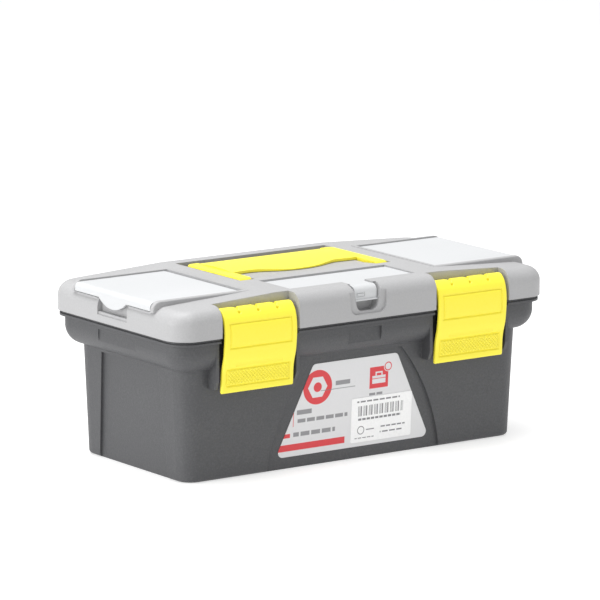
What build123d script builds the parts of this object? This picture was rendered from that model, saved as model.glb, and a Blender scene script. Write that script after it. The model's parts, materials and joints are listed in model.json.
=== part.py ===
from build123d import *
import os
from math import cos, radians, sin, tan

# Ten-inch moulded toolbox: a tub with a collar, a hinged lid with three covered organisers and a
# folding handle, two over-centre latches, and a lift-out tray. X runs along the length, the front
# is at -Y, +Z is up, and the origin is the middle of the footprint on the bench.

# Overall case
case_length = 250.0
case_depth = 126.0
case_height = 99.0
wall = 2.0
seam_gap = 0.3
move_gap = 0.3
seat_gap = 0.2
pin_gap = 0.05
overrun = 1.0
near = 0.05

# Lid
lid_height = 19.0
lid_corner = 13.5
crest_radius = 8.0
crown_flat = 55.0
crown_drop = 3.5
bin_floor_rise = 2.5
bin_floor = 1.6

# Tub
foot_inset_x = 14.0
foot_inset_y = 13.0
foot_corner = 9.0
foot_round = 2.0
draft = 2.7
floor = 2.2
collar_height = 18.7
collar_inset = 3.0
collar_corner = 13.0
collar_round = 11.0
tongue_rise = 1.5
flange_inset = 1.0
flange_height = 2.6
flange_step = 0.9
flange_groove = 1.3
panel_depth = 1.5
end_panel_top = 27.2
end_panel_foot = 33.2
front_panel_top = 30.0
front_panel_middle = 49.5
front_panel_foot = 58.5
front_flute_depth = 1.3
front_flute_width = 22.0
end_flute_depth = 0.6
end_flute_width = 36.0
flute_height = 14.0

# Lid hinge
hinge_end_inset = 55.0
hinge_y_inset = 4.5
hinge_drop = 4.0
hinge_pin_radius = 1.25
knuckle_radius = 3.0
knuckle_room = 1.5
ear_rise = 6.0
ear_width = 16.0
lug_width = 3.0

# Latches
latch_end_inset = 53.75
latch_width = 47.0
bay_gap = 1.75
cheek_drop = 5.0
cheek_foot_drop = 9.5
cheek_slant = 1.8
bay_foot_drop = 12.0
bay_depth = 10.7
bay_step = 0.7
latch_pin_inset = 7.1
latch_pin_drop = 7.0
latch_pin_radius = 1.25
latch_barrel = 2.9
latch_reach = 47.0
latch_wall = 2.1
latch_bow = 0.4
latch_brow_inset = 1.9
latch_brow_drop = 1.3
latch_waist_inset = 1.1
latch_waist_drop = 12.0
latch_shin_inset = 3.0
latch_foot_inset = 3.7
latch_throat_drop = 4.5
latch_root = 2.0
latch_notch = 2.4
latch_notch_pitch = 12.5
hook_drop = 15.0
hook_gap = 0.4
hook_height = 3.0
catch_drop = 12.0
catch_height = 4.0
catch_depth = 4.2
catch_width = 30.0

# Organisers in the lid
cover_thickness = 1.6
cover_drop = 0.8
cover_shy = 0.1
cover_bend = 2.8
hinge_barrel = 1.5
stud_radius = 0.9
stud_length = 1.3
end_cover_width = 72.6
end_cover_gap = 14.0
end_cover_lap = 4.6
end_tab_half = 13.1
end_tab_drop = 4.9
rim_width = 2.5
rim_round = 5.0
rim_edge = 0.9
end_wall = 3.5
seat_width = 3.0
notch_width = 28.4
notch_rise = 4.0
notch_depth = 1.2
notch_step = 1.7
notch_step_depth = 0.6
front_cover_length = 84.0
front_cover_depth = 28.0
front_cover_inset = 15.0
front_tab_width = 15.0
front_tab_inset = 3.1
front_tab_drop = 8.2
front_tab_round = 3.6
front_lip = 0.8
tab_mark_width = 5.8
tab_mark_height = 2.4
tab_mark_line = 0.7
tab_mark_depth = 0.3
tab_mark_x = -3.4
tab_mark_rise = 3.4
front_notch_width = 19.6
front_notch_foot = 13.2
front_notch_rise = 4.5
front_notch_depth = 7.2
scoop_width = 25.0
scoop_foot = 23.4
scoop_rise = 3.0
scoop_depth = 1.3
scoop_round = 4.5

# Carrying handle and its well
handle_length = 100.0
handle_gap = 1.0
well_strip = 5.5
well_back_inset = 15.0
well_floor_drop = 7.0
channel_drop = 4.3
land_drop = 1.1
land_ramp = 11.5
land_gap = 2.0
handle_rise = 0.6
handle_arm_width = 8.0
handle_arm_height = 4.4
handle_pivot_gap = 2.0
handle_back_gap = 8.0
handle_stud_radius = 1.0
handle_stud_length = 1.8
handle_corner = 4.0
handle_round = 0.9
grip_depth = 41.0
grip_crown = 1.4
grip_thickness = 3.0
grip_lip = 0.7
grip_bulge = 6.4
bulge_half = 25.0

# Tray
tray_side_gap = 3.4
tray_end_gap = 1.6
tray_depth_below_shelf = 15.0
tray_rise = 3.8
tray_wall = 1.5
tray_draft = 2.0
tray_corner = 7.0
tray_wing = 74.0
tray_wing_reach = 3.0
rest_pad_rise = 1.2
tray_wing_thickness = 2.0
tray_bar_rise = 13.0
tray_bar_length = 84.0
tray_bar_thickness = 3.0
tray_grip_length = 62.0
tray_grip_height = 8.0
tray_grip_drop = 2.5
tray_divider_x = 36.0
tray_cell_round = 6.0

# Labels
label_thickness = 0.2
label_foot_z = 6.4
label_top_z = 56.4
label_foot_half = 51.8
label_top_half = 28.3
label_corner = 3.0
sticker_width = 41.0
sticker_corner = 1.0
sticker_height = 25.0
sticker_x = 18.8
sticker_z = 21.2

# Heights and edges that follow from the sizes above
half_length = case_length / 2
half_depth = case_depth / 2
seam_z = case_height - lid_height
tub_top = seam_z - seam_gap
collar_z = tub_top - collar_height
foot_x = half_length - foot_inset_x
foot_y = half_depth - foot_inset_y
lean = tan(radians(draft))
shelf_z = collar_z + wall
collar_x = half_length - collar_inset
collar_y = half_depth - collar_inset
shelf_round = collar_round - wall
bay_half = latch_width / 2 + bay_gap
bay_face = -half_depth + bay_depth
bay_wall = bay_face - bay_step
latch_x = half_length - latch_end_inset
latch_pin_y = -half_depth + latch_pin_inset
latch_pin_z = case_height - latch_pin_drop
hinge_x = half_length - hinge_end_inset
hinge_y = half_depth - hinge_y_inset
hinge_z = seam_z - hinge_drop
bin_base = seam_z + bin_floor_rise
bin_top = bin_base + bin_floor
cover_top = case_height - cover_drop
cover_base = cover_top - cover_thickness
seat_z = cover_base - seat_gap
barrel_z = cover_top - hinge_barrel
groove_z = barrel_z - hinge_barrel - move_gap
frame_base = groove_z - wall
well_half = handle_length / 2 + handle_gap
end_hinge_x = well_half + end_cover_gap + hinge_barrel
front_hinge_y = -half_depth + front_cover_inset + front_cover_depth - hinge_barrel
well_front = front_hinge_y + hinge_barrel + well_strip
well_back = half_depth - well_back_inset
well_floor = case_height - well_floor_drop
channel_floor = case_height - channel_drop
land_z = case_height - land_drop
handle_top = case_height + handle_rise
pivot_z = handle_top - handle_arm_height / 2
pivot_y = well_front + handle_pivot_gap + handle_arm_height / 2
handle_back = well_back - handle_back_gap
arm_inner = handle_length / 2 - handle_arm_width
land_back = handle_back - grip_depth + grip_bulge + land_gap
tray_half_y = foot_y - wall + (shelf_z - floor) * lean - tray_side_gap
tray_half_x = foot_x - wall + (shelf_z - floor) * lean - tray_end_gap
rest_z = shelf_z + rest_pad_rise
tray_base = shelf_z - tray_depth_below_shelf
tray_top = shelf_z + tray_rise
tray_bar_top = shelf_z + tray_bar_rise

front_wall = Plane(origin=(0, -foot_y, 0), x_dir=(1, 0, 0),
                   z_dir=(0, -cos(radians(draft)), -sin(radians(draft))))
back_wall = Plane(origin=(0, foot_y, 0), x_dir=(-1, 0, 0),
                  z_dir=(0, cos(radians(draft)), -sin(radians(draft))))
right_wall = Plane(origin=(foot_x, 0, 0), x_dir=(0, 1, 0),
                   z_dir=(cos(radians(draft)), 0, -sin(radians(draft))))
left_wall = Plane(origin=(-foot_x, 0, 0), x_dir=(0, -1, 0),
                  z_dir=(-cos(radians(draft)), 0, -sin(radians(draft))))

sides = (("left", -1), ("right", 1))
os.makedirs("parts", exist_ok=True)


def block(x_range, y_range, z_range, mode=Mode.ADD):
    """A plain block between two limits on each axis, in the open part."""
    sizes = [high - low for low, high in (x_range, y_range, z_range)]
    middles = [(low + high) / 2 for low, high in (x_range, y_range, z_range)]
    with Locations(tuple(middles)):
        Box(*sizes, mode=mode)


def span(side, near, far):
    """The X range between two distances from the middle, on the given side."""
    return tuple(sorted((side * near, side * far)))


def rod(radius, start, end, direction, mode=Mode.ADD):
    """A round bar along X or Y in the open part, from start to end."""
    length = (Vector(*end) - Vector(*start)).length
    with Locations(Plane(origin=start, z_dir=direction)):
        Cylinder(radius, length, align=(Align.CENTER, Align.CENTER, Align.MIN), mode=mode)


def write(piece, name):
    """Label a finished piece and write its STEP file."""
    piece.label = name
    export_step(piece, "parts/" + name + ".step")


def lid_form(inset):
    """The lid's outside drawn in by inset: rounded plan, top falling to the ends, round crest."""
    top = case_height - inset
    reach = half_length - inset
    with BuildPart() as form:
        with BuildSketch(Plane.XY.offset(seam_z)):
            RectangleRounded(2 * reach, case_depth - 2 * inset, lid_corner - inset)
        extrude(amount=lid_height)
        with BuildSketch(Plane.XZ):
            with BuildLine():
                Polyline((-half_length, seam_z), (-half_length, top - crown_drop),
                         (-crown_flat, top), (crown_flat, top),
                         (half_length, top - crown_drop), (half_length, seam_z), close=True)
            make_face()
        extrude(amount=case_depth, both=True, mode=Mode.INTERSECT)
        sides_low = form.faces().filter_by(lambda f: abs(f.normal_at().Z) < 0.1)
        tops = form.faces().filter_by(lambda f: f.normal_at().Z > 0.9)
        crest = [edge for edge in tops.edges() if edge in sides_low.edges()]
        fillet(crest, crest_radius - inset)
    return form.part


def collar_form(inset, base, top, round_radius):
    """The tub's collar drawn in by inset, with its lower edge rounded."""
    with BuildPart() as form:
        with BuildSketch(Plane.XY.offset(base)):
            RectangleRounded(2 * (collar_x - inset), 2 * (collar_y - inset), collar_corner - inset)
        extrude(amount=top - base)
        fillet(form.edges().group_by(Axis.Z)[0], round_radius)
    return form.part


def front_outline():
    """Front panel: narrow under the collar, spreading in a curve to the foot."""
    top = collar_z - overrun
    with BuildSketch() as outline:
        with BuildLine():
            Line((-front_panel_top, top), (front_panel_top, top))
            ThreePointArc((front_panel_top, top), (front_panel_middle, top / 2),
                          (front_panel_foot, -overrun))
            Line((front_panel_foot, -overrun), (-front_panel_foot, -overrun))
            ThreePointArc((-front_panel_foot, -overrun), (-front_panel_middle, top / 2),
                          (-front_panel_top, top))
        make_face()
    return outline.sketch


def end_outline():
    """End panel: straight sides that spread towards the foot."""
    top = collar_z - overrun
    with BuildSketch() as outline:
        with BuildLine():
            Polyline((-end_panel_top, top), (end_panel_top, top), (end_panel_foot, -overrun),
                     (-end_panel_foot, -overrun), close=True)
        make_face()
    return outline.sketch


def panel_blocks(depth):
    """The four wall panels as blocks reaching depth in from the drafted walls."""
    with BuildPart() as blocks:
        for plane, outline in ((front_wall, front_outline), (back_wall, front_outline),
                               (left_wall, end_outline), (right_wall, end_outline)):
            with BuildSketch(plane.offset(overrun)):
                add(outline())
            extrude(amount=-(depth + overrun))
    return blocks.part


def rim_form(side):
    """The raised surround of an end organiser before its seat is cut, rounded along the top."""
    half_rim = end_cover_width / 2 + move_gap + rim_width
    with BuildPart() as form:
        block(span(side, end_hinge_x - hinge_barrel - move_gap - wall, half_length),
              (-half_rim, half_rim), (frame_base, case_height))
        outer = form.edges().filter_by(Axis.Y).group_by(Axis.Z)[-1].sort_by(Axis.X)
        fillet(outer[0 if side < 0 else -1], rim_round)
        crest = form.faces().filter_by(Axis.Y).edges().filter_by(
            lambda e: e.center().Z > case_height - rim_round and e.length < half_length)
        crest = [edge for edge in crest if edge.geom_type == GeomType.CIRCLE
                 or edge.center().Z > case_height - near]
        fillet(crest, rim_edge)
    return form.part


def scoop_outline(half_top, half_foot, foot_z, corner):
    """A finger scoop seen from the front: open at the top, closing in to a round foot."""
    with BuildSketch() as outline:
        with BuildLine():
            Polyline((-half_top, case_height + overrun), (half_top, case_height + overrun),
                     (half_foot, foot_z), (-half_foot, foot_z), close=True)
        make_face()
        fillet(outline.vertices().group_by(Axis.Y)[0], corner)
    return outline.sketch


def arm_form(side):
    """One arm of the handle, round at its pivot, with its outer back corner and edges rounded."""
    low = handle_top - handle_arm_height
    start = min(side * arm_inner, side * handle_length / 2)
    with BuildPart() as form:
        with BuildSketch(Plane.YZ.offset(start)):
            with Locations((pivot_y, pivot_z)):
                Circle(handle_arm_height / 2)
            with Locations(((pivot_y + handle_back) / 2, pivot_z)):
                Rectangle(handle_back - pivot_y, handle_arm_height)
        extrude(amount=handle_arm_width)
        corner = form.edges().filter_by(Axis.Z).sort_by(Axis.X)[0 if side < 0 else -1]
        fillet(corner, handle_corner)
        rims = form.edges().filter_by(
            lambda e: abs(abs(e.center().X) - handle_length / 2) < near and e.center().Z > low + near)
        fillet(rims, handle_round)
    return form.part


# Room in front of the grip, whose edge swells forward in the middle
with BuildPart() as grip_room:
    front = handle_back - grip_depth
    side_y = front + grip_bulge
    with BuildSketch(Plane.XY.offset(channel_floor)):
        with BuildLine():
            Spline((-arm_inner, side_y), (-bulge_half, side_y),
                   (-bulge_half / 2, front + grip_bulge / 4), (0, front),
                   (bulge_half / 2, front + grip_bulge / 4), (bulge_half, side_y),
                   (arm_inner, side_y), tangents=((1, 0), (1, 0)))
            Polyline((arm_inner, side_y), (arm_inner, front - overrun), (-arm_inner, front - overrun),
                     (-arm_inner, side_y))
        make_face()
    extrude(amount=2 * handle_arm_height)


# Tub cavity: drafted box below the shelf, wider above it, with room left for every pocket's wall
with BuildPart() as tub_cavity:
    with BuildSketch(Plane.XY):
        RectangleRounded(2 * (foot_x - wall), 2 * (foot_y - wall), foot_corner - wall)
    extrude(amount=shelf_z + overrun, taper=-draft)
    block((-half_length, half_length), (-half_depth, half_depth), (-overrun, floor), Mode.SUBTRACT)
    add(panel_blocks(panel_depth + wall), mode=Mode.SUBTRACT)
    add(collar_form(wall, shelf_z, tub_top + tongue_rise + overrun, shelf_round))
    for side in (-1, 1):
        block(span(side, latch_x - bay_half - wall, latch_x + bay_half + wall),
              (-half_depth, bay_wall + wall), (shelf_z - overrun, case_height), Mode.SUBTRACT)
        block(span(side, hinge_x - ear_width / 2 - lug_width - move_gap,
                   hinge_x + ear_width / 2 + lug_width + move_gap),
              (hinge_y - knuckle_radius - move_gap - wall, half_depth),
              (hinge_z - knuckle_radius - knuckle_room - wall, case_height), Mode.SUBTRACT)
        block(span(side, collar_x - end_flute_depth - wall, half_length),
              (-end_flute_width / 2 - wall, end_flute_width / 2 + wall),
              (shelf_z, collar_z + flute_height + wall), Mode.SUBTRACT)
        block(span(side, tray_half_x + tray_end_gap, half_length),
              (-tray_wing / 2 - wall, tray_wing / 2 + wall), (shelf_z - overrun, rest_z), Mode.SUBTRACT)
    block((-front_flute_width / 2 - wall, front_flute_width / 2 + wall),
          (-half_depth, -collar_y + front_flute_depth + wall),
          (shelf_z, collar_z + flute_height + wall), Mode.SUBTRACT)

# Tub
with BuildPart() as tub:
    with BuildSketch(Plane.XY):
        RectangleRounded(2 * foot_x, 2 * foot_y, foot_corner)
    extrude(amount=collar_z + wall, taper=-draft)
    fillet(tub.edges().group_by(Axis.Z)[0], foot_round)
    add(panel_blocks(panel_depth), mode=Mode.SUBTRACT)
    add(collar_form(0, collar_z, tub_top + tongue_rise, collar_round))
    for step in (0, 1):
        flange_out = flange_inset + flange_step * step
        with BuildSketch(Plane.XY.offset(tub_top - flange_height / (1 + step))):
            RectangleRounded(case_length - 2 * flange_out, case_depth - 2 * flange_out,
                             lid_corner - flange_out)
        extrude(amount=flange_height / (1 + step) - flange_groove * (1 - step))
    block((-half_length, half_length), (hinge_y + wall, half_depth + overrun), (collar_z, case_height),
          Mode.SUBTRACT)
    for side in (-1, 1):
        for edge in (-1, 1):
            cheek = sorted((side * (latch_x + edge * bay_half),
                            side * (latch_x + edge * (bay_half + wall))))
            with BuildSketch(Plane.YZ.offset(cheek[0])):
                with BuildLine():
                    Polyline((-foot_y - overrun, tub_top), (-collar_y, tub_top),
                             (-collar_y, collar_z - cheek_drop),
                             (-collar_y + cheek_slant, collar_z - cheek_foot_drop),
                             (-foot_y - overrun, collar_z - cheek_foot_drop),
                             close=True)
                make_face()
            extrude(amount=wall)
            lug = sorted((side * (hinge_x + edge * (ear_width / 2 + move_gap)),
                          side * (hinge_x + edge * (ear_width / 2 + move_gap + lug_width))))
            rod(knuckle_radius, (lug[0], hinge_y, hinge_z), (lug[1], hinge_y, hinge_z), (1, 0, 0))
    add(tub_cavity.part, mode=Mode.SUBTRACT)
    block((-front_flute_width / 2, front_flute_width / 2),
          (-half_depth, -collar_y + front_flute_depth), (collar_z - overrun, collar_z + flute_height),
          Mode.SUBTRACT)
    for side in (-1, 1):
        block(span(side, collar_x - end_flute_depth, half_length),
              (-end_flute_width / 2, end_flute_width / 2), (collar_z - overrun, collar_z + flute_height),
              Mode.SUBTRACT)
        bay = span(side, latch_x - bay_half, latch_x + bay_half)
        block(bay, (-half_depth, bay_wall), (collar_z - bay_foot_drop, case_height), Mode.SUBTRACT)
        block(span(side, latch_x - bay_half - wall - bay_step, latch_x + bay_half + wall + bay_step),
              (-half_depth, bay_face + wall + bay_step), (tub_top, case_height), Mode.SUBTRACT)
        block(span(side, latch_x - catch_width / 2, latch_x + catch_width / 2),
              (bay_wall - catch_depth, bay_face),
              (seam_z - catch_drop, seam_z - catch_drop + catch_height))
        ear_room = ear_width / 2 + move_gap
        block(span(side, hinge_x - ear_room, hinge_x + ear_room),
              (hinge_y - knuckle_radius - move_gap, half_depth),
              (hinge_z - knuckle_radius - knuckle_room, case_height), Mode.SUBTRACT)
        reach = ear_room + lug_width
        rod(hinge_pin_radius + pin_gap, (side * hinge_x - reach, hinge_y, hinge_z),
            (side * hinge_x + reach, hinge_y, hinge_z), (1, 0, 0), Mode.SUBTRACT)
write(tub.part, "tub")

# Steel pins of the lid hinge, one in each knuckle
for name, side in sides:
    with BuildPart() as hinge_pin:
        reach = ear_width / 2 + move_gap + lug_width
        rod(hinge_pin_radius, (side * hinge_x - reach, hinge_y, hinge_z),
            (side * hinge_x + reach, hinge_y, hinge_z), (1, 0, 0))
    write(hinge_pin.part, name + "_hinge_pin")

# Blocks of the lid that follow its rounded outside: latch bays and the front finger notch
with BuildPart() as lid_bays:
    for side in (-1, 1):
        block(span(side, latch_x - bay_half - wall, latch_x + bay_half + wall),
              (-half_depth, bay_face + wall), (seam_z, case_height))
    block((-scoop_width / 2 - wall, scoop_width / 2 + wall),
          (-half_depth, -half_depth + front_notch_depth + wall), (bin_base, case_height))
    add(lid_form(0), mode=Mode.INTERSECT)

# Lid
with BuildPart() as lid:
    add(lid_form(0))
    add(lid_form(wall), mode=Mode.SUBTRACT)
    add(lid_bays.part)
    well_box = (well_front - wall, well_back + wall)
    block((-well_half - wall - overrun, well_half + wall + overrun), well_box,
          (well_floor - wall, case_height - wall))
    hollow_half = arm_inner - handle_gap - wall
    block((-hollow_half, hollow_half), (well_front - wall, land_back - wall),
          (well_floor - wall, land_z - wall), Mode.SUBTRACT)
    block((-well_half - wall - overrun, well_half + wall + overrun), (well_front - wall, land_back - wall),
          (well_floor - wall, channel_floor - wall), Mode.SUBTRACT)
    front_seat_y = (-half_depth + front_cover_inset - move_gap,
                    front_hinge_y + hinge_barrel + move_gap)
    front_half = front_cover_length / 2 + move_gap
    block((-front_half - seat_width, front_half + seat_width),
          (front_seat_y[0] - wall, front_seat_y[1] + wall), (frame_base, case_height - seat_gap))
    block((-front_half + seat_width - wall, front_half - seat_width + wall),
          (front_seat_y[0] + seat_width - wall, front_seat_y[1] - seat_width), (bin_base, frame_base))
    block((-front_notch_width / 2 - wall, front_notch_width / 2 + wall),
          (-half_depth + front_notch_depth, front_seat_y[0]), (frame_base, case_height - wall))
    for side in (-1, 1):
        half_cover = end_cover_width / 2 + move_gap
        inner = end_hinge_x - hinge_barrel - move_gap
        add(rim_form(side))
        block(span(side, end_hinge_x + hinge_barrel + move_gap, half_length - wall / 2),
              (-half_cover + seat_width - wall, half_cover - seat_width + wall),
              (bin_base, frame_base + overrun))
        ear = span(side, hinge_x - ear_width / 2, hinge_x + ear_width / 2)
        rod(knuckle_radius, (ear[0], hinge_y, hinge_z), (ear[1], hinge_y, hinge_z), (1, 0, 0))
        block(ear, (hinge_y - overrun, hinge_y + knuckle_radius), (hinge_z, seam_z + ear_rise))

    # handle well, its pivots and the front organiser
    block((-well_half, well_half), (land_back, well_back), (well_floor, case_height + overrun),
          Mode.SUBTRACT)
    with BuildSketch(Plane.YZ.offset(-well_half)):
        with BuildLine():
            Polyline((well_front, case_height), (well_front + land_ramp, land_z),
                     (land_back + overrun, land_z), (land_back + overrun, case_height + overrun),
                     (well_front, case_height + overrun), close=True)
        make_face()
    extrude(amount=2 * well_half, mode=Mode.SUBTRACT)
    for side in (-1, 1):
        block(span(side, arm_inner - handle_gap, well_half), (well_front, land_back + overrun),
              (channel_floor, case_height + overrun), Mode.SUBTRACT)
    block((-front_half, front_half), front_seat_y, (seat_z, case_height + overrun), Mode.SUBTRACT)
    block((-front_half, front_half),
          (front_seat_y[1] - 2 * hinge_barrel - 2 * move_gap, front_seat_y[1]),
          (groove_z, case_height), Mode.SUBTRACT)
    block((-front_half + seat_width, front_half - seat_width),
          (front_seat_y[0] + seat_width, front_seat_y[1] - seat_width - wall),
          (bin_top, case_height), Mode.SUBTRACT)
    block((-front_tab_width / 2 - move_gap, front_tab_width / 2 + move_gap),
          (-half_depth, front_seat_y[0] + overrun), (seat_z, case_height + overrun), Mode.SUBTRACT)
    with BuildSketch(Plane.XZ.offset(half_depth - front_notch_depth)):
        add(scoop_outline(front_notch_width / 2, front_notch_foot / 2,
                          seam_z + front_notch_rise, scoop_round))
    extrude(amount=front_notch_depth + overrun, mode=Mode.SUBTRACT)
    with BuildSketch(Plane.XZ.offset(half_depth - scoop_depth)):
        add(scoop_outline(scoop_width / 2, scoop_foot / 2, seam_z + scoop_rise, scoop_round))
    extrude(amount=scoop_depth + overrun, mode=Mode.SUBTRACT)
    for side in (-1, 1):
        start = (side * (front_half - seat_gap), front_hinge_y, barrel_z)
        end = (side * (front_half + stud_length + seat_gap), front_hinge_y, barrel_z)
        rod(stud_radius + pin_gap, start, end, (side, 0, 0), Mode.SUBTRACT)
        start = (side * (well_half - seat_gap), pivot_y, pivot_z)
        end = (side * (well_half - handle_gap + handle_stud_length + move_gap), pivot_y, pivot_z)
        rod(handle_stud_radius + pin_gap, start, end, (side, 0, 0), Mode.SUBTRACT)

        # end organisers: seat, hinge groove, bin, room for the turned-down end and finger notch
        block(span(side, inner, half_length), (-half_cover, half_cover), (seat_z, case_height + overrun),
              Mode.SUBTRACT)
        block(span(side, inner, inner + 2 * hinge_barrel + 2 * move_gap),
              (-half_cover, half_cover), (groove_z, case_height), Mode.SUBTRACT)
        block(span(side, end_hinge_x + hinge_barrel + move_gap + wall,
                   half_length - wall - end_wall),
              (-half_cover + seat_width, half_cover - seat_width), (bin_top, case_height),
              Mode.SUBTRACT)
        block(span(side, half_length - wall, half_length + overrun), (-half_cover, half_cover),
              (cover_top - end_cover_lap - move_gap, case_height), Mode.SUBTRACT)
        block(span(side, half_length - wall - notch_depth, half_length + overrun),
              (-notch_width / 2, notch_width / 2),
              (seam_z + notch_rise + notch_step, case_height), Mode.SUBTRACT)
        block(span(side, half_length - notch_step_depth, half_length + overrun),
              (-notch_width / 2, notch_width / 2), (seam_z + notch_rise, case_height),
              Mode.SUBTRACT)
        for end in (-1, 1):
            start = (side * end_hinge_x, end * (half_cover - seat_gap), barrel_z)
            stop = (side * end_hinge_x, end * (half_cover + stud_length + seat_gap), barrel_z)
            rod(stud_radius + pin_gap, start, stop, (0, end, 0), Mode.SUBTRACT)

        # latch bay and the holes of its pin
        block(span(side, latch_x - bay_half, latch_x + bay_half), (-half_depth - overrun, bay_face),
              (seam_z - overrun, case_height + overrun), Mode.SUBTRACT)
        reach = bay_half + wall + move_gap
        rod(latch_pin_radius + pin_gap, (side * latch_x - reach, latch_pin_y, latch_pin_z),
            (side * latch_x + reach, latch_pin_y, latch_pin_z), (1, 0, 0), Mode.SUBTRACT)
        reach = ear_width / 2 + overrun
        rod(hinge_pin_radius + pin_gap, (side * hinge_x - reach, hinge_y, hinge_z),
            (side * hinge_x + reach, hinge_y, hinge_z), (1, 0, 0), Mode.SUBTRACT)
write(lid.part, "lid")

# Latch pins, each held in the two cheeks of its bay
for name, side in sides:
    with BuildPart() as latch_pin:
        reach = bay_half + wall
        rod(latch_pin_radius, (side * latch_x - reach, latch_pin_y, latch_pin_z),
            (side * latch_x + reach, latch_pin_y, latch_pin_z), (1, 0, 0))
    write(latch_pin.part, name + "_latch_pin")

# Latches: a curved plate hung on its pin, with a hook inside and a grip below
for name, side in sides:
    with BuildPart() as latch:
        low = latch_pin_z + latch_barrel - latch_reach + latch_root
        face = -half_depth
        back = face + latch_wall
        with BuildSketch(Plane.YZ.offset(side * latch_x - latch_width / 2)):
            with BuildLine():
                outer = Spline((latch_pin_y, latch_pin_z + latch_barrel),
                               (face + latch_brow_inset, latch_pin_z - latch_brow_drop),
                               (face + latch_bow, seam_z + latch_root),
                               (face + latch_waist_inset, seam_z - latch_waist_drop),
                               (face + latch_shin_inset, collar_z),
                               (face + latch_foot_inset, low), tangents=((-1, 0), (0, -1)))
                Line(outer @ 1, (back + latch_foot_inset, low))
                inner = Spline((back + latch_foot_inset, low), (back + latch_shin_inset, collar_z),
                               (back + latch_waist_inset, seam_z - latch_waist_drop),
                               (back + latch_bow, seam_z + latch_root),
                               (back + latch_brow_inset, latch_pin_z - latch_throat_drop),
                               (latch_pin_y, latch_pin_z - latch_root), tangents=((0, 1), (1, 1)))
                Line(inner @ 1, outer @ 0)
            make_face()
        extrude(amount=latch_width)
        start = side * latch_x - latch_width / 2
        rod(latch_barrel, (start, latch_pin_y, latch_pin_z),
            (start + latch_width, latch_pin_y, latch_pin_z), (1, 0, 0))
        block(span(side, latch_x - catch_width / 2, latch_x + catch_width / 2),
              (face + latch_wall, bay_wall - catch_depth - hook_gap),
              (seam_z - hook_drop - hook_height / 2, seam_z - hook_drop + hook_height / 2))
        rod(latch_pin_radius + pin_gap, (start - overrun, latch_pin_y, latch_pin_z),
            (start + latch_width + overrun, latch_pin_y, latch_pin_z), (1, 0, 0), Mode.SUBTRACT)
        for place in (-1, 0, 1):
            middle = side * latch_x + place * latch_notch_pitch
            top = latch_pin_z + latch_barrel
            with BuildSketch(Plane.XZ.offset(-half_depth)):
                with BuildLine():
                    Polyline((middle - latch_notch / 2, top + pin_gap),
                             (middle + latch_notch / 2, top + pin_gap),
                             (middle, top - latch_notch / 2), close=True)
                make_face()
            extrude(amount=case_depth, mode=Mode.SUBTRACT)
    write(latch.part, name + "_latch")

# End organiser covers: plate on a hinge barrel, with its outer end turned down into a tab
for name, side in sides:
    with BuildPart() as end_cover:
        half_cover = end_cover_width / 2
        outer = half_length - cover_shy
        block(span(side, end_hinge_x, outer), (-half_cover, half_cover), (cover_base, cover_top))
        block(span(side, outer - cover_thickness, outer), (-half_cover, half_cover),
              (cover_top - end_cover_lap, cover_top))
        corner = end_cover.edges().filter_by(Axis.Y).filter_by(
            lambda e: abs(e.center().X) > outer - near and e.center().Z > cover_top - near)
        fillet(corner, cover_bend)
        with BuildSketch(Plane.YZ.offset(min(side * outer, side * (outer - cover_thickness)))):
            flap_z = cover_top - end_cover_lap
            with BuildLine():
                ThreePointArc((-end_tab_half, flap_z), (0, flap_z - end_tab_drop),
                              (end_tab_half, flap_z))
                Polyline((end_tab_half, flap_z), (end_tab_half, flap_z + overrun),
                         (-end_tab_half, flap_z + overrun), (-end_tab_half, flap_z))
            make_face()
        extrude(amount=cover_thickness)
        rod(hinge_barrel, (side * end_hinge_x, -half_cover, barrel_z),
            (side * end_hinge_x, half_cover, barrel_z), (0, 1, 0))
        stud = half_cover + stud_length
        rod(stud_radius, (side * end_hinge_x, -stud, barrel_z),
            (side * end_hinge_x, stud, barrel_z), (0, 1, 0))
    write(end_cover.part, name + "_organiser_cover")

# Tab of the front organiser cover: bent down over the finger scoop, with a lip along its foot
with BuildPart() as front_tab:
    tab_y = -half_depth + front_tab_inset
    tab_back = tab_y + cover_thickness
    tab_foot = cover_top - front_tab_drop
    tab_root = -half_depth + front_cover_inset + overrun
    with BuildSketch(Plane.YZ.offset(-front_tab_width / 2)) as profile:
        with BuildLine():
            Polyline((tab_root, cover_top), (tab_y, cover_top), (tab_y, tab_foot + front_lip),
                     (tab_y - front_lip, tab_foot + front_lip), (tab_y - front_lip, tab_foot),
                     (tab_back, tab_foot), (tab_back, cover_base), (tab_root, cover_base),
                     close=True)
        make_face()
        bends = profile.vertices().filter_by(lambda v: abs(v.X - tab_y) < near)
        fillet(bends.sort_by(Axis.Y)[-1], front_tab_round)
        bends = profile.vertices().filter_by(lambda v: abs(v.X - tab_back) < near)
        fillet(bends.sort_by(Axis.Y)[-1], front_tab_round - cover_thickness)
    extrude(amount=front_tab_width)
    with BuildSketch(Plane.XZ.offset(-tab_y)):
        with Locations((tab_mark_x, tab_foot + tab_mark_rise)):
            Rectangle(tab_mark_width, tab_mark_height)
            Rectangle(tab_mark_width - 2 * tab_mark_line, tab_mark_height - 2 * tab_mark_line,
                      mode=Mode.SUBTRACT)
    extrude(amount=-tab_mark_depth, mode=Mode.SUBTRACT)

# Front organiser cover: plate, tab and hinge barrel
with BuildPart() as front_cover:
    half_cover = front_cover_length / 2
    block((-half_cover, half_cover), (-half_depth + front_cover_inset, front_hinge_y),
          (cover_base, cover_top))
    add(front_tab.part)
    rod(hinge_barrel, (-half_cover, front_hinge_y, barrel_z), (half_cover, front_hinge_y, barrel_z),
        (1, 0, 0))
    stud = half_cover + stud_length
    rod(stud_radius, (-stud, front_hinge_y, barrel_z), (stud, front_hinge_y, barrel_z), (1, 0, 0))
write(front_cover.part, "front_organiser_cover")

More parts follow.
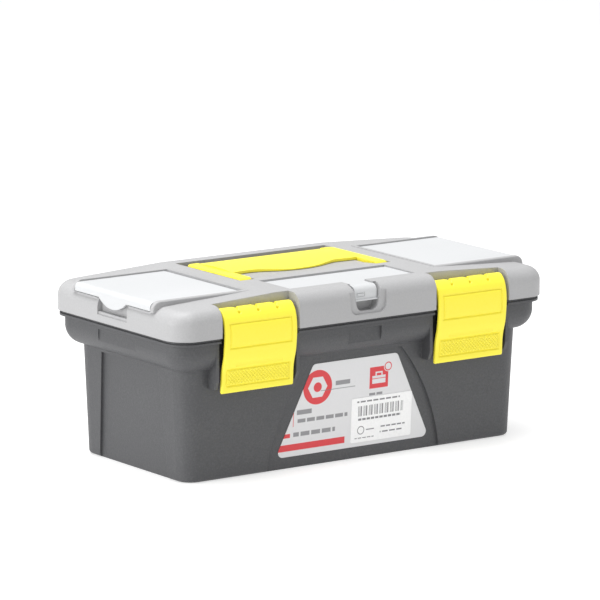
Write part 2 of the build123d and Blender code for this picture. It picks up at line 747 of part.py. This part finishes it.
# Carrying handle, folded flat: two arms and an arched grip that lies over the land of its well
with BuildPart() as handle:
    half_handle = handle_length / 2
    for side in (-1, 1):
        add(arm_form(side))
    grip_end = handle_back - grip_depth
    under = case_height + grip_crown - grip_thickness
    lip_z = land_z + move_gap
    with BuildSketch(Plane.YZ.offset(-arm_inner - overrun)):
        with BuildLine():
            ThreePointArc((handle_back, case_height),
                          ((handle_back + grip_end) / 2, case_height + grip_crown),
                          (grip_end, lip_z + grip_lip))
            Polyline((grip_end, lip_z + grip_lip), (grip_end, lip_z), (land_back + overrun, lip_z),
                     (land_back + land_gap, under), (handle_back, under), (handle_back, case_height))
        make_face()
    extrude(amount=2 * (arm_inner + overrun))
    add(grip_room.part, mode=Mode.SUBTRACT)
    for side in (-1, 1):
        start = (side * (half_handle - overrun), pivot_y, pivot_z)
        end = (side * (half_handle + handle_stud_length), pivot_y, pivot_z)
        rod(handle_stud_radius, start, end, (side, 0, 0))
write(handle.part, "carrying_handle")

# Lift-out tray: five compartments round a middle wall that rises into a carrying bar
with BuildPart() as tray:
    with BuildSketch(Plane.XY.offset(tray_top)):
        RectangleRounded(2 * tray_half_x, 2 * tray_half_y, tray_corner)
    extrude(amount=-(tray_top - tray_base), taper=tray_draft)
    for side in (-1, 1):
        block(span(side, tray_half_x - overrun, tray_half_x + tray_end_gap + tray_wing_reach),
              (-tray_wing / 2, tray_wing / 2), (rest_z, rest_z + tray_wing_thickness))
    room_x = tray_half_x - tray_wall - overrun
    room_y = tray_half_y - tray_wall - overrun
    half_bar = tray_bar_thickness / 2
    front_cells = ((-room_x, -tray_divider_x - half_bar / 2),
                   (-tray_divider_x + half_bar / 2, tray_divider_x - half_bar / 2),
                   (tray_divider_x + half_bar / 2, room_x))
    back_cells = ((-room_x, -half_bar / 2), (half_bar / 2, room_x))
    for cells, depths in ((front_cells, (-room_y, -half_bar)), (back_cells, (half_bar, room_y))):
        for cell in cells:
            with BuildSketch(Plane.XY.offset(tray_base + tray_wall)):
                with Locations((sum(cell) / 2, sum(depths) / 2)):
                    RectangleRounded(cell[1] - cell[0], depths[1] - depths[0], tray_cell_round)
            extrude(amount=tray_top - tray_base, mode=Mode.SUBTRACT)
    block((-tray_bar_length / 2, tray_bar_length / 2), (-tray_bar_thickness / 2, tray_bar_thickness / 2),
          (tray_base, tray_bar_top))
    block((-tray_grip_length / 2, tray_grip_length / 2), (-tray_bar_thickness, tray_bar_thickness),
          (tray_bar_top - tray_grip_drop - tray_grip_height, tray_bar_top - tray_grip_drop),
          Mode.SUBTRACT)
write(tray.part, "lift_out_tray")

# Printed label and the small sticker on it, lying on the front panel
with BuildPart() as label:
    with BuildSketch(front_wall.offset(-panel_depth)):
        with BuildLine():
            Polyline((-label_top_half, label_top_z), (label_top_half, label_top_z),
                     (label_foot_half, label_foot_z), (-label_foot_half, label_foot_z), close=True)
        outline = make_face()
        fillet(outline.vertices(), label_corner)
    extrude(amount=label_thickness)
write(label.part, "product_label")

with BuildPart() as sticker:
    with BuildSketch(front_wall.offset(-panel_depth + label_thickness)):
        with Locations((sticker_x, sticker_z)):
            RectangleRounded(sticker_width, sticker_height, sticker_corner)
    extrude(amount=label_thickness)
write(sticker.part, "barcode_sticker")
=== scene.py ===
import json
from math import cos, pi, radians, sin

import bpy
import numpy as np
from mathutils import Matrix, Vector


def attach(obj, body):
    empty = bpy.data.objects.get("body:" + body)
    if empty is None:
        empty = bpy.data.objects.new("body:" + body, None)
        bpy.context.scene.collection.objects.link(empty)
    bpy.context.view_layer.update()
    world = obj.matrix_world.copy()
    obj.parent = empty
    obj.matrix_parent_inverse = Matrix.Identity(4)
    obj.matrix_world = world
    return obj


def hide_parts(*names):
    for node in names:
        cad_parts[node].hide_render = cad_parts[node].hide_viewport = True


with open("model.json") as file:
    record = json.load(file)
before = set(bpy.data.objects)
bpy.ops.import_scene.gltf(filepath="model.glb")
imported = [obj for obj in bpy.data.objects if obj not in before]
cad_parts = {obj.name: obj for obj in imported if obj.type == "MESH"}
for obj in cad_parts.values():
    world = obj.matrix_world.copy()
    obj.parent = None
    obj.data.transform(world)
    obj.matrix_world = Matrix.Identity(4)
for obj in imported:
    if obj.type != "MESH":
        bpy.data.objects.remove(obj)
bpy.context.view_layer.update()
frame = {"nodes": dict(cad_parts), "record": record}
MM = 0.001


# ---------------------------------------------------------------- materials

class Recipe:
    """A material being mixed: a Principled shader plus the nodes that feed it."""

    def __init__(self, name, **settings):
        self.material = bpy.data.materials.new(name)
        self.material.use_nodes = True
        self.tree = self.material.node_tree
        self.tree.nodes.clear()
        self.shader = self.tree.nodes.new("ShaderNodeBsdfPrincipled")
        output = self.tree.nodes.new("ShaderNodeOutputMaterial")
        self.tree.links.new(self.shader.outputs["BSDF"], output.inputs["Surface"])
        for socket, value in settings.items():
            self.shader.inputs[socket.replace("_", " ")].default_value = value
        self.where = self.tree.nodes.new("ShaderNodeTexCoord").outputs["Object"]

    def feed(self, value, socket):
        """Join a node's output to a socket, or set the socket when the value is a number."""
        if isinstance(value, bpy.types.NodeSocket):
            self.tree.links.new(value, socket)
        else:
            socket.default_value = value

    def node(self, kind, inputs=(), output=0, **settings):
        """Add a node, set its properties, feed its inputs by name or number, return one output."""
        made = self.tree.nodes.new("ShaderNode" + kind)
        for key, value in settings.items():
            setattr(made, key, value)
        for key, value in dict(inputs).items():
            self.feed(value, made.inputs[key])
        return made.outputs[output]

    def math(self, operation, *values, clamp=False):
        """One Math node on up to three values."""
        return self.node("Math", enumerate(values), operation=operation, use_clamp=clamp)

    def noise(self, scale, detail=2.0, rough=0.5, stretch=(1, 1, 1)):
        """Noise with that many cells to the metre, drawn out along an axis where stretch is small."""
        place = self.node("Mapping", {"Vector": self.where, "Scale": stretch})
        return self.node("TexNoise", {"Vector": place, "Scale": scale, "Detail": detail,
                                      "Roughness": rough})

    def ramp(self, value, low, high, start=0.0, end=1.0):
        """Map value from start..end to low..high, held at the ends."""
        return self.node("MapRange", {"Value": value, "From Min": start, "From Max": end,
                                      "To Min": low, "To Max": high})

    def mix(self, factor, first, second):
        """Blend two colours."""
        return self.node("Mix", {0: factor, 6: first, 7: second}, output=2, data_type="RGBA")

    def axes(self):
        """The X, Y and Z of the surface point, in metres."""
        split = self.tree.nodes.new("ShaderNodeSeparateXYZ")
        self.feed(self.where, split.inputs[0])
        return split.outputs

    def patch(self, x_range, z_range, soft=0.0001):
        """1 inside a rectangle of the front face given in millimetres, 0 outside."""
        x, _, z = self.axes()
        sides = []
        for axis, (low, high) in ((x, x_range), (z, z_range)):
            off = self.math("ABSOLUTE", self.math("SUBTRACT", axis, (low + high) / 2 * MM))
            sides.append(self.ramp(off, 1.0, 0.0, (high - low) / 2 * MM - soft,
                                   (high - low) / 2 * MM + soft))
        return self.math("MINIMUM", *sides)

    def disc(self, x_middle, z_middle, radius, soft=0.0001):
        """1 inside a circle of the front face given in millimetres, 0 outside."""
        x, _, z = self.axes()
        far = self.math("SQRT", self.math("ADD", *(
            self.math("POWER", self.math("ABSOLUTE", self.math("SUBTRACT", axis, middle * MM)), 2.0)
            for axis, middle in ((x, x_middle), (z, z_middle)))))
        return self.ramp(far, 1.0, 0.0, radius * MM - soft, radius * MM + soft)

    def hexagon(self, x_middle, z_middle, radius, soft=0.0001):
        """1 inside a hexagon with flat top: the largest of its three half-widths stays in radius."""
        x, _, z = self.axes()
        x = self.math("ABSOLUTE", self.math("SUBTRACT", x, x_middle * MM))
        z = self.math("ABSOLUTE", self.math("SUBTRACT", z, z_middle * MM))
        slant = self.math("ADD", self.math("MULTIPLY", x, 0.866), self.math("MULTIPLY", z, 0.5))
        far = self.math("MAXIMUM", slant, z)
        return self.ramp(far, 1.0, 0.0, radius * MM - soft, radius * MM + soft)

    def words(self, mask, pitch, filled):
        """Break a bar into word-like blocks: keep the filled share of every pitch millimetres."""
        place = self.math("FRACT", self.math("DIVIDE", self.axes()[0], pitch * MM))
        return self.math("MULTIPLY", mask, self.math("LESS_THAN", place, filled))

    def join(self, *masks):
        """The union of several masks."""
        whole = masks[0]
        for mask in masks[1:]:
            whole = self.math("MAXIMUM", whole, mask)
        return whole

    def bump(self, *layers, edge=0.0):
        """Stack bump layers of (height, depth in metres), over edges softened by a small radius."""
        normal = None
        if edge:
            normal = self.node("Bevel", {"Radius": edge}, samples=6)
        for height, depth in layers:
            inputs = {"Height": height, "Distance": depth, "Strength": 1.0}
            if normal is not None:
                inputs["Normal"] = normal
            normal = self.node("Bump", inputs)
        self.feed(normal, self.shader.inputs["Normal"])


def rgb(red, green, blue):
    """A colour with full alpha, from linear parts."""
    return (red, green, blue, 1.0)


def moulded(name, colour, pale, rough, grain_depth=0.00006, **settings):
    """Grained moulded plastic: spark-eroded grain, faint flow clouding and rubbed paler patches."""
    mat = Recipe(name, IOR=1.49, **settings)
    grain = mat.noise(1000, 4.0, 0.7)
    pits = mat.noise(5200, 2.0, 0.6)
    cloud = mat.noise(16, 3.0, 0.55, (0.6, 1, 1.8))
    scuff = mat.noise(90, 6.0, 0.7, (1, 1, 0.3))
    rubbed = mat.math("MULTIPLY", mat.ramp(scuff, 0.0, 1.0, 0.6, 0.78),
                      mat.ramp(cloud, 0.0, 1.0, 0.5, 0.72))
    speckle = mat.ramp(grain, 0.0, 0.5, 0.35, 0.75)
    tone = mat.math("ADD", mat.math("MULTIPLY", rubbed, 0.35), mat.math("MULTIPLY", speckle, 0.7))
    tone = mat.math("ADD", tone, mat.ramp(cloud, -0.12, 0.02, 0.35, 0.65), clamp=True)
    mat.feed(mat.mix(tone, colour, pale), mat.shader.inputs["Base Color"])
    polish = mat.ramp(cloud, rough - 0.05, rough + 0.06, 0.3, 0.7)
    polish = mat.math("SUBTRACT", polish, mat.math("MULTIPLY", rubbed, 0.12))
    mat.feed(polish, mat.shader.inputs["Roughness"])
    mat.bump((grain, grain_depth), (pits, grain_depth * 0.35), edge=0.0005)
    return mat.material


tub_plastic = moulded("tub_plastic", rgb(0.066, 0.067, 0.071), rgb(0.15, 0.152, 0.157), 0.5,
                     0.00013)
lid_plastic = moulded("lid_plastic", rgb(0.40, 0.40, 0.405), rgb(0.54, 0.54, 0.545), 0.46,
                     0.0001)
tray_plastic = moulded("tray_plastic", rgb(0.33, 0.33, 0.34), rgb(0.42, 0.42, 0.43), 0.5)
yellow_plastic = moulded("yellow_plastic", rgb(0.99, 0.87, 0.055), rgb(0.99, 0.91, 0.10), 0.42,
                         0.000022)
cover_plastic = moulded("cover_plastic", rgb(0.59, 0.60, 0.61), rgb(0.66, 0.66, 0.67), 0.36,
                        0.00002)


def drawn_steel():
    """Bright drawn wire: fine scratches along its length over a clouded polish."""
    mat = Recipe("drawn_steel", Metallic=1.0, Base_Color=rgb(0.6, 0.6, 0.61), Anisotropic=0.5)
    drawn = mat.noise(2600, 4.0, 0.6, (0.04, 1, 1))
    cloud = mat.noise(300, 3.0)
    mat.feed(mat.ramp(mat.math("ADD", drawn, cloud), 0.2, 0.42, 0.7, 1.3),
             mat.shader.inputs["Roughness"])
    mat.bump((drawn, 0.00002), edge=0.0003)
    return mat.material


RED = rgb(0.70, 0.045, 0.055)
INK = rgb(0.16, 0.16, 0.17)


def printed_film(name, paper, red, ink, rough):
    """Printed film: paper tone with faint mottling, red and grey ink."""
    mat = Recipe(name, IOR=1.5)
    fibre = mat.noise(700, 4.0, 0.6)
    sheet = mat.mix(mat.ramp(fibre, 0.0, 0.2, 0.3, 0.7), paper, rgb(0.68, 0.68, 0.69))
    tone = mat.mix(red(mat), sheet, RED)
    tone = mat.mix(ink(mat), tone, INK)
    mat.feed(tone, mat.shader.inputs["Base Color"])
    mat.feed(mat.ramp(fibre, rough, rough + 0.12, 0.3, 0.7), mat.shader.inputs["Roughness"])
    mat.bump((fibre, 0.000012), edge=0.0002)
    return mat.material


def label_red(mat):
    """Roundel with a nut, square badge with a toolbox sign, rules and the foot stripe."""
    nut = mat.math("SUBTRACT", mat.hexagon(-25, 43.2, 5.6), mat.disc(-25, 43.2, 2.7), clamp=True)
    roundel = mat.math("SUBTRACT", mat.disc(-25, 43.2, 9.6), nut, clamp=True)
    sign = mat.join(mat.patch((11.8, 20.8), (40.6, 45.0)), mat.patch((13.9, 14.7), (45.0, 47.2)),
                    mat.patch((17.9, 18.7), (45.0, 47.2)), mat.patch((13.9, 18.7), (46.4, 47.2)))
    sign = mat.math("SUBTRACT", sign, mat.patch((11.8, 20.8), (43.2, 43.6)), clamp=True)
    badge = mat.math("SUBTRACT", mat.patch((10, 22.6), (38, 50)), sign, clamp=True)
    badge = mat.math("SUBTRACT", badge, mat.disc(22.4, 49.5, 2.9), clamp=True)
    ring = mat.math("SUBTRACT", mat.disc(22.4, 49.5, 2.5), mat.disc(22.4, 49.5, 1.9), clamp=True)
    rules = mat.join(mat.patch((-40.8, -40.4), (22.9, 33.7)), mat.patch((-49.5, -42.5), (17, 19.3)),
                     mat.patch((-51, -5.7), (9.6, 13.3)))
    return mat.join(roundel, badge, ring, rules)


def label_ink(mat):
    """Grey bars where a label carries its lines of type."""
    lines = ((-13, 0, 42.8, 45.3, 20), (-38.4, -28.5, 29.2, 31.8, 20),
             (-38.7, -4.3, 24.7, 26.8, 6.3), (-40.4, -12.4, 17.2, 19.6, 7.1),
             (10, 19, 34.2, 35.6, 5.0))
    bars = [mat.words(mat.patch((left, right), (low, high)), pitch, 0.84)
            for left, right, low, high, pitch in lines]
    return mat.math("MULTIPLY", mat.join(mat.patch((-22.9, 0.3), (40.7, 41.1)), *bars), 0.8)


def no_ink(mat):
    """No print of this colour."""
    return 0.0


def sticker_ink(mat):
    """A stripe block of uneven bars, a ring with a dash and a few short rules."""
    x = mat.axes()[0]
    uneven = mat.math("SINE", mat.math("ADD", mat.math("MULTIPLY", x, 5200.0),
                                       mat.math("MULTIPLY", mat.math("SINE",
                                                mat.math("MULTIPLY", x, 1730.0)), 2.3)))
    stripes = mat.math("MULTIPLY", mat.patch((2, 33.5), (23.3, 29)),
                       mat.math("GREATER_THAN", uneven, 0.05))
    ring = mat.math("SUBTRACT", mat.disc(5, 15.4, 2.4), mat.disc(5, 15.4, 1.9), clamp=True)
    rules = [mat.words(mat.patch((left, right), (low, high)), pitch, 0.8)
             for left, right, low, high, pitch in
             ((2, 31, 31.0, 31.9, 4.3), (3, 32, 20.9, 22.1, 2.9), (8.5, 14, 15.1, 15.7, 20),
              (18, 35, 15.6, 16.4, 3.7), (18, 33, 12.6, 13.4, 4.9), (1, 14, 10.8, 11.3, 3.1))]
    return mat.math("MULTIPLY", mat.join(stripes, ring, *rules), 0.92)


label_film = printed_film("label_film", rgb(0.74, 0.74, 0.75), label_red, label_ink, 0.34)
sticker_film = printed_film("sticker_film", rgb(0.98, 0.98, 0.98), no_ink, sticker_ink, 0.42)

steel = drawn_steel()
finishes = {"tub_plastic": tub_plastic, "lid_plastic": lid_plastic, "tray_plastic": tray_plastic,
            "yellow_plastic": yellow_plastic, "cover_plastic": cover_plastic, "steel": steel,
            "label_film": label_film, "sticker_film": sticker_film}


def dress_nodes():
    """Give every carried-over CAD node the finish of its record slot."""
    for part in frame["record"]["subparts"]:
        node = frame["nodes"][part["node"]]
        finish = finishes.get(part["material_slot"])
        if finish:
            node.data.materials.clear()
            node.data.materials.append(finish)


dress_nodes()


# ---------------------------------------------------------------- latches

LATCH_HALF = 23.5
LATCH_THICK = 2.1
LATCH_THIN = 1.5
LATCH_CORNER = 0.75
LATCH_MIDDLE = 71.25
PIN_Y = -55.9
PIN_Z = 92.0
ROLL_RADIUS = 2.9
ROW_STEP = 0.265
FACE_COLUMNS = 188
BACK_COLUMNS = 14
NOTCH_PITCH = 12.5
NOTCH_END = 8.9
RELIEF_EDGE = 23.0
HOOK_HALF = 15
HOOK_FRONT = -61.5
HOOK_BACK = -57.6
HOOK_FOOT = 63.5
HOOK_TOP = 66.5
CAP_STEPS = np.array([0.35, 0.7, 0.9, 0.99])
CAP_DRAW = 0.6

def smooth_path(points, step):
    """Catmull-Rom curve through the points at equal steps of arc length.

    On each span c(t) = (2 p1 + (p2 - p0) t + (2 p0 - 5 p1 + 4 p2 - p3) t^2
    + (3 p1 - p0 - 3 p2 + p3) t^3) / 2, with end points repeated.
    """
    knots = np.array(points, float)
    knots = np.vstack([2 * knots[0] - knots[1], knots, 2 * knots[-1] - knots[-2]])
    along = np.linspace(0, len(points) - 1 - 1e-9, 4000)
    span = along.astype(int)
    t = (along - span)[:, None]
    p0, p1, p2, p3 = (knots[span + k] for k in range(4))
    curve = 0.5 * (2 * p1 + (p2 - p0) * t + (2 * p0 - 5 * p1 + 4 * p2 - p3) * t ** 2
                   + (3 * p1 - p0 - 3 * p2 + p3) * t ** 3)
    length = np.concatenate([[0], np.cumsum(np.hypot(*np.diff(curve, axis=0).T))])
    at = np.arange(0, length[-1], step)
    return at, np.stack([np.interp(at, length, curve[:, k]) for k in (0, 1)], axis=1)


def soft_step(value, start, end):
    """0 before start, 1 after end, 3t^2 - 2t^3 between."""
    t = np.clip((value - start) / (end - start), 0, 1)
    return t * t * (3 - 2 * t)


def frame_groove(x, z, half, low, high, width, depth):
    """A groove along a rectangle's outline: depth where the distance to the outline is small."""
    out = np.maximum(np.abs(x) - half, np.abs(z - (low + high) / 2) - (high - low) / 2)
    return depth * (1 - soft_step(np.abs(out), width * 0.4, width))


def latch_relief(x, s, z):
    """Depth cut into a latch's face at offset x, arc length s and height z, in millimetres.

    Three V notches at x = -12.5, 0, 12.5 narrow to nothing at s = 8.9 with a pit below each, a
    groove frames the upper field, and the grip field carries raised lozenges
    |sin(pi (x + z) / p) sin(pi (x - z) / p)| inside its own frame.
    """
    nearest = np.abs(x - NOTCH_PITCH * np.clip(np.round(x / NOTCH_PITCH), -1, 1))
    half = 1.9 * np.clip((NOTCH_END - s) / 4.2, 0.0, 1.0)
    cut = 1.3 * (1 - soft_step(nearest - half, -0.25, 0.12)) * (s < NOTCH_END)
    cut = np.maximum(cut, 1.35 * (1 - soft_step(np.hypot(nearest, s - 10.2), 0.65, 1.0)))
    cut = np.maximum(cut, frame_groove(x, z, 20.0, 74.0, 87.0, 0.6, 0.7))
    cut = np.maximum(cut, frame_groove(x, z, 20.5, 53.0, 62.0, 0.55, 0.6))
    field = soft_step(np.minimum(20.0 - np.abs(x), 4.0 - np.abs(z - 57.5)), 0.0, 0.4)
    lozenge = np.abs(np.sin(pi * (x + z) / 2.1) * np.sin(pi * (x - z) / 2.1))
    return cut - 0.5 * field * soft_step(lozenge, 0.2, 0.75)


def rounded_strip(half, thick, corner, across):
    """Closed outline of a strip: its outer face first at depth 0, then round to the inner face."""
    turn = np.linspace(0, pi / 2, 6)[1:]
    face = np.linspace(-half + corner, half - corner, across)
    x = [face]
    d = [np.zeros(across)]
    for cx, cd, start in ((half - corner, corner, -pi / 2), (half - corner, thick - corner, 0)):
        x.append(cx + corner * np.cos(start + turn))
        d.append(cd + corner * np.sin(start + turn))
    back = np.linspace(half - corner, -half + corner, BACK_COLUMNS)[1:]
    x.append(back)
    d.append(np.full(back.size, thick))
    for cx, cd, start in ((-half + corner, thick - corner, pi / 2), (-half + corner, corner, pi)):
        x.append(cx + corner * np.cos(start + turn))
        d.append(cd + corner * np.sin(start + turn))
    return np.concatenate(x)[:-1], np.concatenate(d)[:-1]


def end_cap(ring, centre, along, inward, thick):
    """Rings that round off one end of a latch, each a fraction k of half the thickness further out.

    The depth of ring k is scaled by sqrt(1 - k^2), and its width drawn in by
    0.6 (1 - sqrt(1 - k^2)) mm at each edge.
    """
    shrink = np.sqrt(1 - CAP_STEPS ** 2)[:, None]
    width = ring[None, :, 0]
    x = width - np.sign(width) * (1 - shrink) * CAP_DRAW
    reach = ((ring[:, 1:] - centre) @ inward)[None] * shrink
    out = (CAP_STEPS * thick / 2)[:, None, None] * along
    return np.concatenate([x[..., None], centre + reach[..., None] * inward + out], axis=2)


def latch_body():
    """Grid of a latch rolled over its pin and bowed down the front, closed by a cap at each end.

    The strip outline is carried along the profile: point = path(s) + depth * inward normal(s),
    with x across.
    """
    roll = [(PIN_Y + ROLL_RADIUS * cos(radians(a)), PIN_Z + ROLL_RADIUS * sin(radians(a)))
            for a in (-10, 35, 80)]
    front = [(-58.5, 94.3), (-61.6, 90.7), (-63.1, 85.6), (-63.5, 80), (-63.2, 74), (-62.5, 68.2),
             (-61.0, 62.8), (-60.2, 58), (-59.9, 50.0)]
    s, path = smooth_path(roll + front, ROW_STEP)
    tangent = np.gradient(path, axis=0)
    tangent /= np.linalg.norm(tangent, axis=1)[:, None]
    inward = np.stack([-tangent[:, 1], tangent[:, 0]], axis=1)
    thick = LATCH_THIN + (LATCH_THICK - LATCH_THIN) * soft_step(s, 9.0, 14.0)
    x, d = rounded_strip(LATCH_HALF, LATCH_THICK, LATCH_CORNER, FACE_COLUMNS)
    x = np.broadcast_to(x, (s.size, x.size))
    d = d * thick[:, None] / LATCH_THICK
    relief = latch_relief(x, s[:, None], path[:, 1:2])
    relief *= soft_step(RELIEF_EDGE - np.abs(x), 0.0, 0.6)
    relief[:, FACE_COLUMNS:] = 0
    d = d + relief
    body = np.stack([x, path[:, :1] + d * inward[:, :1], path[:, 1:] + d * inward[:, 1:]], axis=2)
    centre = path + inward * thick[:, None] / 2
    first = end_cap(body[0], centre[0], -tangent[0], inward[0], thick[0])
    last = end_cap(body[-1], centre[-1], tangent[-1], inward[-1], thick[-1])
    return np.concatenate([first[::-1], body, last])


def latch_piece(name, middle):
    """A yellow latch with its grip relief and a block hook inside, riding the body it replaces."""
    grid = latch_body()
    count, ring = grid.shape[:2]
    index = np.arange(count * ring).reshape(count, ring)
    around = np.roll(index, -1, axis=1)
    quads = np.stack([index[:-1], index[1:], around[1:], around[:-1]], axis=2).reshape(-1, 4)
    corners = np.array([(a, b, c) for a in (-HOOK_HALF, HOOK_HALF)
                        for b in (HOOK_FRONT, HOOK_BACK) for c in (HOOK_FOOT, HOOK_TOP)])
    hook = [(0, 1, 3, 2), (4, 6, 7, 5), (0, 4, 5, 1), (2, 3, 7, 6), (0, 2, 6, 4), (1, 5, 7, 3)]
    points = np.vstack([grid.reshape(-1, 3), corners]) + (middle, 0, 0)
    faces = quads.tolist() + [index[0].tolist(), index[-1][::-1].tolist()]
    faces += [[count * ring + corner for corner in side] for side in hook]
    mesh = bpy.data.meshes.new(name)
    mesh.from_pydata((points * MM).tolist(), [], faces)
    mesh.polygons.foreach_set("use_smooth", np.arange(len(faces)) < len(quads))
    mesh.update()
    piece = bpy.data.objects.new(name, mesh)
    bpy.context.scene.collection.objects.link(piece)
    mesh.materials.append(yellow_plastic)
    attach(piece, name.replace("_plate", ""))
    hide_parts(name.replace("_plate", ""))


for latch_name, side in (("left_latch_plate", -1), ("right_latch_plate", 1)):
    latch_piece(latch_name, side * LATCH_MIDDLE)


# ---------------------------------------------------------------- stage, light and camera

AIM_HEIGHT = 0.05


def studio():
    """A pale light table in an even tent, with large soft lights overhead and at the left."""
    world = bpy.data.worlds.new("tent")
    bpy.context.scene.world = world
    world.use_nodes = True
    back = world.node_tree.nodes["Background"]
    back.inputs["Color"].default_value = rgb(1.0, 1.0, 1.0)
    back.inputs["Strength"].default_value = 0.58

    bpy.ops.mesh.primitive_plane_add(size=12, location=(0, 0, -0.0002))
    floor = bpy.context.object
    floor.name = "floor"
    mat = Recipe("floor_paint", Roughness=0.6, Base_Color=rgb(0.55, 0.55, 0.55),
                 Emission_Color=rgb(1.0, 1.0, 1.0), Emission_Strength=0.57)
    floor.data.materials.append(mat.material)

    for name, place, size, power in (("overhead", (-0.2, 0.1, 1.5), 1.2, 26.0),
                                     ("side", (-1.7, 0.15, 0.4), 0.8, 11.0)):
        light = bpy.data.lights.new(name, "AREA")
        light.shape = "SQUARE"
        light.size = size
        light.energy = power
        lamp = bpy.data.objects.new(name, light)
        lamp.location = place
        aim = Vector((0, 0, AIM_HEIGHT)) - Vector(place)
        lamp.rotation_euler = aim.to_track_quat("-Z", "Y").to_euler()
        bpy.context.scene.collection.objects.link(lamp)
    bpy.context.scene.view_settings.view_transform = "Standard"


def long_lens(turn=-35.82, height=11.5, roll=0.31, distance=2.745, aim=(0.0031, 0.0051, 0.0794)):
    """A long lens from the front left, a little above the lid."""
    a, e = radians(turn), radians(height)
    back = Vector((sin(a) * cos(e), -cos(a) * cos(e), sin(e)))
    place = Vector((0, 0, AIM_HEIGHT)) + back * distance
    data = bpy.data.cameras.new("long_lens")
    data.sensor_width = 36
    data.lens = 298
    data.clip_end = 20
    camera = bpy.data.objects.new("long_lens", data)
    look = (Vector(aim) - place).to_track_quat("-Z", "Y").to_matrix()
    spin = Matrix.Rotation(radians(roll), 3, "Z")
    camera.matrix_world = Matrix.Translation(place) @ (look @ spin).to_4x4()
    bpy.context.scene.collection.objects.link(camera)
    bpy.context.scene.camera = camera


studio()
long_lens()
